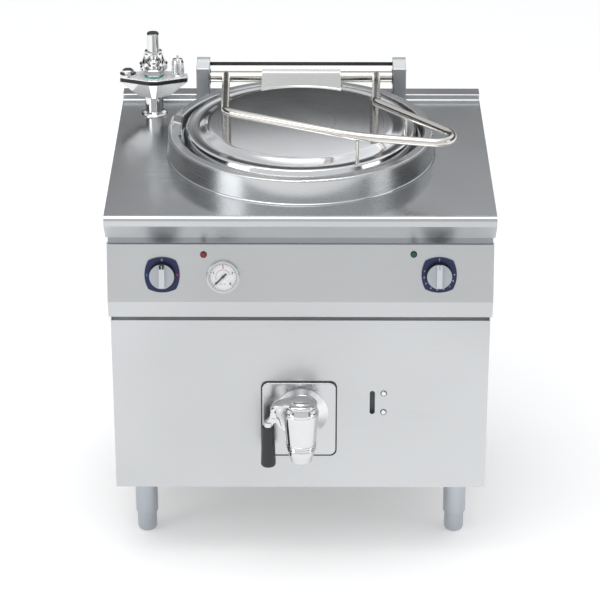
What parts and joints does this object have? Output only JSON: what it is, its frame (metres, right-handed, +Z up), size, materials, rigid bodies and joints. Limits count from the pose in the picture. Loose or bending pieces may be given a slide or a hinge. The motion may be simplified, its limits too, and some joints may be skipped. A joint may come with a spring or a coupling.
{
  "type": "steam jacketed kettle",
  "caption": "Floor-standing steam jacketed boiling kettle: square cabinet on legs, round pan with hinged lid and tube handle, front draw-off tap, dials, gauge and valve group.",
  "frame": {"origin": "middle of the whole part's footprint, at the floor under the feet", "axes": "+Z up, -Y is the front with the controls and the tap, +X is to the right seen from the front"},
  "size_m": [0.8, 0.704, 1.038],
  "materials": {
    "frame_steel": "mill finish square tube",
    "tube_steel": "satin tube",
    "brushed_sheet": "brushed stainless sheet",
    "back_sheet": "plain stainless sheet",
    "satin_ring": "satin turned ring",
    "pan_steel": "satin pan steel",
    "jacket_steel": "dull jacket steel",
    "element_steel": "dark heater sheath",
    "pipe_steel": "drawn tube",
    "cast_post": "fine blasted casting",
    "bush_plastic": "plain bearing",
    "polished_steel": "polished tube",
    "lid_steel": "satin lid",
    "chrome": "bright chrome",
    "teal_gasket": "sealing ring",
    "bronze": "turned plug",
    "black_grip": "moulded grip",
    "dial_blue": "printed dial plate",
    "knob_plastic": "silver faced knob with a black skirt",
    "valve_brass": "valve body",
    "switch_plastic": "moulded switch body",
    "gauge_white": "printed dial",
    "needle_black": "pointer",
    "gauge_glass": "clear window",
    "lamp_red": "lamp lens",
    "lamp_green": "lamp lens",
    "slot_grey": "recess lining"
  },
  "bodies": {
    "cabinet": {"base_frame": "frame_steel", "upper_frame": "frame_steel", "leg_sleeves": "tube_steel", "worktop": "brushed_sheet", "head_strip": "brushed_sheet", "control_panel": "brushed_sheet", "front_panel": "brushed_sheet", "side_panels": "brushed_sheet", "back_panel": "back_sheet", "pan_ring": "satin_ring", "inner_pan": "pan_steel", "steam_jacket": "jacket_steel", "heating_elements": "element_steel", "drain_pipe": "pipe_steel", "steam_pipe": "pipe_steel", "water_supply_pipes": "pipe_steel", "fill_and_gauge_pipes": "pipe_steel", "water_inlet_hood": "satin_ring", "hinge_posts": "cast_post", "hinge_bushes": "bush_plastic", "valve_column": "chrome", "valve_manifold": "chrome", "valve_gasket": "teal_gasket", "safety_valve": "chrome", "breather_valve": "chrome", "tap_escutcheon": "satin_ring", "tap_flange": "chrome", "tap_body": "chrome", "tap_bonnet": "chrome", "dial_plates": "dial_blue", "water_valve": "valve_brass", "energy_switch": "switch_plastic", "gauge_case": "chrome", "gauge_dial": "gauge_white", "gauge_glass": "gauge_glass", "lamp_red": "lamp_red", "lamp_green": "lamp_green", "sight_recess": "slot_grey", "sight_screws": "chrome", "terminal_box": "back_sheet", "cable_gland": "switch_plastic"},
    "lid": {"lid": "lid_steel", "lid_bracket": "brushed_sheet", "hinge_tube": "polished_steel", "lid_handle": "polished_steel", "handle_studs": "polished_steel"},
    "tap_lever": {"tap_plug": "bronze", "tap_lever": "chrome", "lever_pin": "chrome"},
    "tap_grip": {"tap_shank": "chrome", "tap_grip": "black_grip"},
    "knob_left": {"knob_left": "knob_plastic"},
    "knob_right": {"knob_right": "knob_plastic"},
    "gauge_needle": {"gauge_needle": "needle_black"},
    "foot_front_left": {"foot_front_left": "tube_steel"},
    "foot_front_right": {"foot_front_right": "tube_steel"},
    "foot_rear_left": {"foot_rear_left": "tube_steel"},
    "foot_rear_right": {"foot_rear_right": "tube_steel"},
    "filler_plug": {"filler_plug": "chrome"},
    "safety_valve_cap": {"safety_valve_cap": "chrome"}
  },
  "joints": [
    {"name": "lid_hinge", "type": "hinge", "parent": "cabinet", "child": "lid", "pos_m": [0, 0.325, 0.901], "axis": [-1, 0, 0], "range_deg": [0, 85]},
    {"name": "tap_turn", "type": "hinge", "parent": "cabinet", "child": "tap_lever", "pos_m": [0.002, -0.315, 0.396], "axis": [0, 0, 1], "range_deg": [0, 90]},
    {"name": "tap_fold", "type": "hinge", "parent": "tap_lever", "child": "tap_grip", "pos_m": [-0.057, -0.315, 0.381], "axis": [0, 1, 0], "range_deg": [0, 85]},
    {"name": "water_knob", "type": "hinge", "parent": "cabinet", "child": "knob_left", "pos_m": [-0.286, -0.2801, 0.7], "axis": [0, -0.9796, 0.2007], "range_deg": [-90, 90]},
    {"name": "heat_knob", "type": "hinge", "parent": "cabinet", "child": "knob_right", "pos_m": [0.287, -0.28, 0.7005], "axis": [0, 0.9796, -0.2007], "range_deg": [0, 270]},
    {"name": "needle_turn", "type": "hinge", "parent": "cabinet", "child": "gauge_needle", "pos_m": [-0.16, -0.2809, 0.696], "axis": [0, 0.9796, -0.2007], "range_deg": [0, 270]},
    {"name": "foot_front_left_screw", "type": "slide", "parent": "cabinet", "child": "foot_front_left", "axis": [0, 0, -1], "range_m": [0, 0.05]},
    {"name": "foot_front_right_screw", "type": "slide", "parent": "cabinet", "child": "foot_front_right", "axis": [0, 0, -1], "range_m": [0, 0.05]},
    {"name": "foot_rear_left_screw", "type": "slide", "parent": "cabinet", "child": "foot_rear_left", "axis": [0, 0, -1], "range_m": [0, 0.05]},
    {"name": "foot_rear_right_screw", "type": "slide", "parent": "cabinet", "child": "foot_rear_right", "axis": [0, 0, -1], "range_m": [0, 0.05]},
    {"name": "plug_turn", "type": "hinge", "parent": "cabinet", "child": "filler_plug", "pos_m": [-0.382, 0.237, 0.938], "axis": [0, 0, 1], "range_deg": [0, 90]},
    {"name": "cap_lift", "type": "slide", "parent": "cabinet", "child": "safety_valve_cap", "axis": [0, 0, 1], "range_m": [0, 0.004]}
  ]
}
